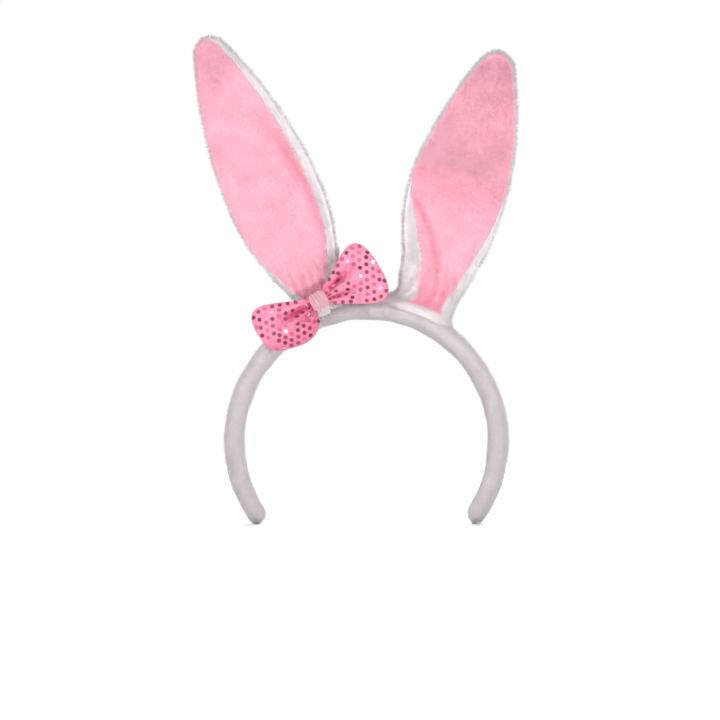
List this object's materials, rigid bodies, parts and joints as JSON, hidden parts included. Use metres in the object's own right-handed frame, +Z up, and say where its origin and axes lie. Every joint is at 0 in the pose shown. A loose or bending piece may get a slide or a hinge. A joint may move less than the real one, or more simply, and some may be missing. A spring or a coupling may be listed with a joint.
{
  "type": "animal ears headband",
  "caption": "Padded plush headband with bendable long rabbit ears, white behind and pink in front, and a stuffed sequin bow sewn at the foot of one ear.",
  "frame": {"origin": "centre of the band's round inside, half way between its front and back edges", "axes": "+Z up through the top of the head, -Y to the front, where the pink side of the ears faces, +X to the wearer's left"},
  "size_m": [0.1931, 0.0794, 0.2892],
  "materials": {
    "white_plush": "short fluffy pile",
    "pink_plush": "short fluffy pile",
    "sequin_cloth": "satin knit backing",
    "sequins": "metallised, glossy",
    "satin": "satin",
    "felt": "matt",
    "thread": "matt",
    "wadding": "matt",
    "steel_wire": "bright drawn",
    "plastic_strip": "moulded"
  },
  "bodies": {
    "crown": {"crown_core": "plastic_strip", "crown_padding": "wadding", "crown_sleeve": "white_plush", "crown_seam": "thread", "right_ear_foot": "white_plush", "left_ear_foot": "white_plush", "right_wire_binding": "steel_wire", "left_wire_binding": "steel_wire", "right_wire_tails": "steel_wire", "left_wire_tails": "steel_wire", "bow_patch": "felt", "bow_patch_stitches": "thread", "bow_shank": "thread"},
    "right_leg": {"right_leg_core": "plastic_strip", "right_leg_padding": "wadding", "right_leg_sleeve": "white_plush", "right_leg_seam": "thread", "right_leg_end": "white_plush"},
    "left_leg": {"left_leg_core": "plastic_strip", "left_leg_padding": "wadding", "left_leg_sleeve": "white_plush", "left_leg_seam": "thread", "left_leg_end": "white_plush"},
    "right_ear_root": {"right_ear_cuff": "white_plush", "right_wire_stem": "steel_wire"},
    "right_ear_lower": {"right_ear_front_lower": "pink_plush", "right_ear_back_lower": "white_plush", "right_ear_wadding_lower": "wadding", "right_ear_wire_lower": "steel_wire"},
    "right_ear_upper": {"right_ear_front_upper": "pink_plush", "right_ear_back_upper": "white_plush", "right_ear_wadding_upper": "wadding", "right_ear_wire_upper": "steel_wire"},
    "left_ear_root": {"left_ear_cuff": "white_plush", "left_wire_stem": "steel_wire"},
    "left_ear_lower": {"left_ear_front_lower": "pink_plush", "left_ear_back_lower": "white_plush", "left_ear_wadding_lower": "wadding", "left_ear_wire_lower": "steel_wire"},
    "left_ear_upper": {"left_ear_front_upper": "pink_plush", "left_ear_back_upper": "white_plush", "left_ear_wadding_upper": "wadding", "left_ear_wire_upper": "steel_wire"},
    "bow": {"bow_right_loop": "sequin_cloth", "bow_left_loop": "sequin_cloth", "bow_right_wadding": "wadding", "bow_left_wadding": "wadding", "bow_right_sequins": "sequins", "bow_left_sequins": "sequins", "bow_waist": "sequin_cloth", "bow_pinch_thread": "thread", "bow_knot": "satin"}
  },
  "joints": [
    {"name": "right_leg_flex", "type": "hinge", "parent": "crown", "child": "right_leg", "pos_m": [-0.0594, 0, 0.0594], "axis": [0, 1, 0], "range_deg": [0, 12], "stiffness_Nm_per_rad": 0.8},
    {"name": "right_ear_tilt", "type": "hinge", "parent": "crown", "child": "right_ear_root", "pos_m": [-0.02935, 0, 0.08772], "axis": [0.9483, 0, 0.3173], "range_deg": [-45, 5]},
    {"name": "right_ear_splay", "type": "hinge", "parent": "right_ear_root", "child": "right_ear_lower", "pos_m": [-0.03252, 0, 0.0972], "axis": [-0.2454, -0.9659, -0.0821], "range_deg": [-10, 20]},
    {"name": "right_ear_fold", "type": "hinge", "parent": "right_ear_lower", "child": "right_ear_upper", "pos_m": [-0.05493, 0.00138, 0.14796], "axis": [0.8814, -0.2576, 0.396], "range_deg": [-42, 88]},
    {"name": "left_leg_flex", "type": "hinge", "parent": "crown", "child": "left_leg", "pos_m": [0.0594, 0, 0.0594], "axis": [0, -1, 0], "range_deg": [0, 12], "stiffness_Nm_per_rad": 0.8},
    {"name": "left_ear_tilt", "type": "hinge", "parent": "crown", "child": "left_ear_root", "pos_m": [0.03614, 0, 0.08515], "axis": [0.9205, 0, -0.3907], "range_deg": [-45, 45]},
    {"name": "left_ear_splay", "type": "hinge", "parent": "left_ear_root", "child": "left_ear_lower", "pos_m": [0.04005, 0, 0.09435], "axis": [-0.0802, 0.9962, 0.0341], "range_deg": [-10, 20]},
    {"name": "left_ear_fold", "type": "hinge", "parent": "left_ear_lower", "child": "left_ear_upper", "pos_m": [0.05304, -0.0008, 0.1483], "axis": [0.9689, 0.086, -0.232], "range_deg": [-76, 54]},
    {"name": "bow_swivel", "type": "hinge", "parent": "crown", "child": "bow", "pos_m": [-0.0275, -0.014, 0.082], "axis": [0, 1, 0], "range_deg": [-12, 12]}
  ]
}
